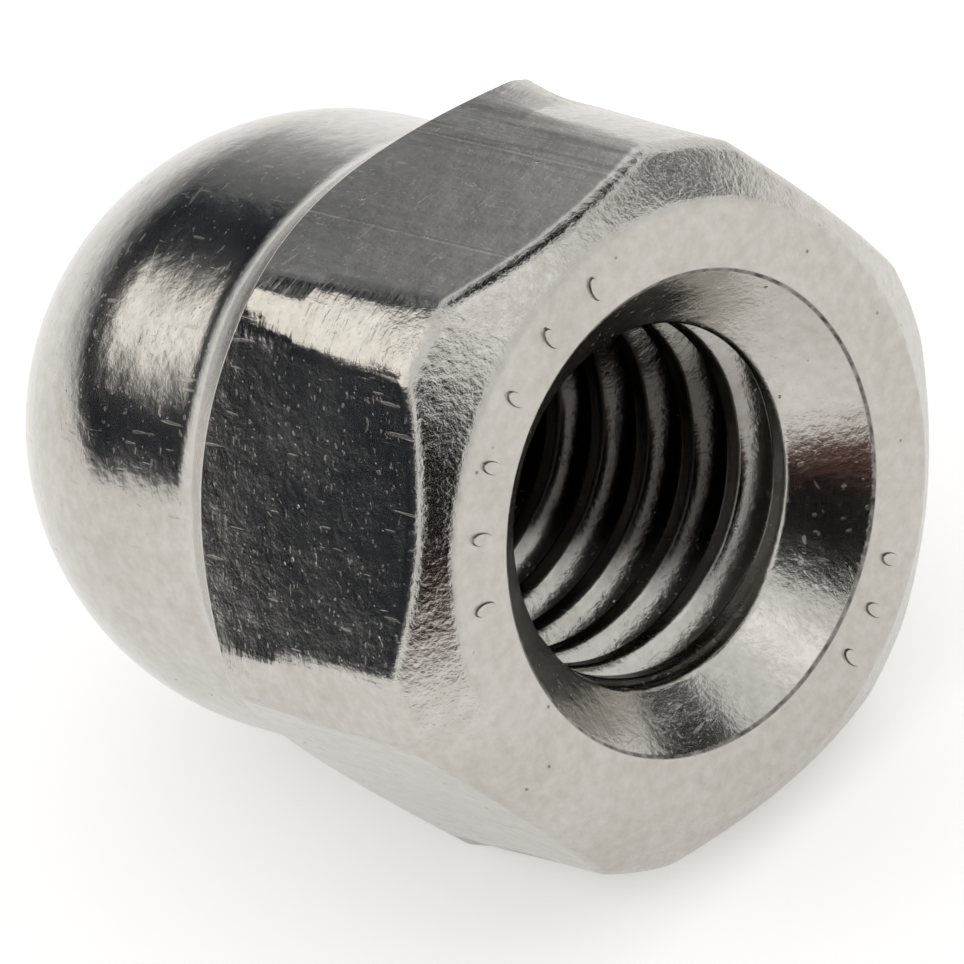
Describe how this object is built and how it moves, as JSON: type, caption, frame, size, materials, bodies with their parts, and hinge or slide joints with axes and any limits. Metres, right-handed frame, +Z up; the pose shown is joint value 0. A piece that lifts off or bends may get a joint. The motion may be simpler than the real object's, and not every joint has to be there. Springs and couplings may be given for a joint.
{
  "type": "cap nut",
  "caption": "Domed hexagonal cap nut with a blind tapped hole, which covers and seals the end of a screw.",
  "frame": {"origin": "centre of the flat bearing face, on the axis of the tapped hole", "axes": "+Z up. The nut lies on its side as it comes to rest, on the far end of one flat and on its dome: mouth to the front (-Y), tipped up by 5.959 degrees, and dome to the back (+Y). The table is 4.399 mm below the origin. +X is along the width across the corners."},
  "size_m": [0.0092, 0.0104, 0.0083],
  "materials": {
    "stainless_steel": "satin, cold forged and tumbled"
  },
  "bodies": {
    "root": {"cap_nut": "stainless_steel"}
  },
  "joints": []
}
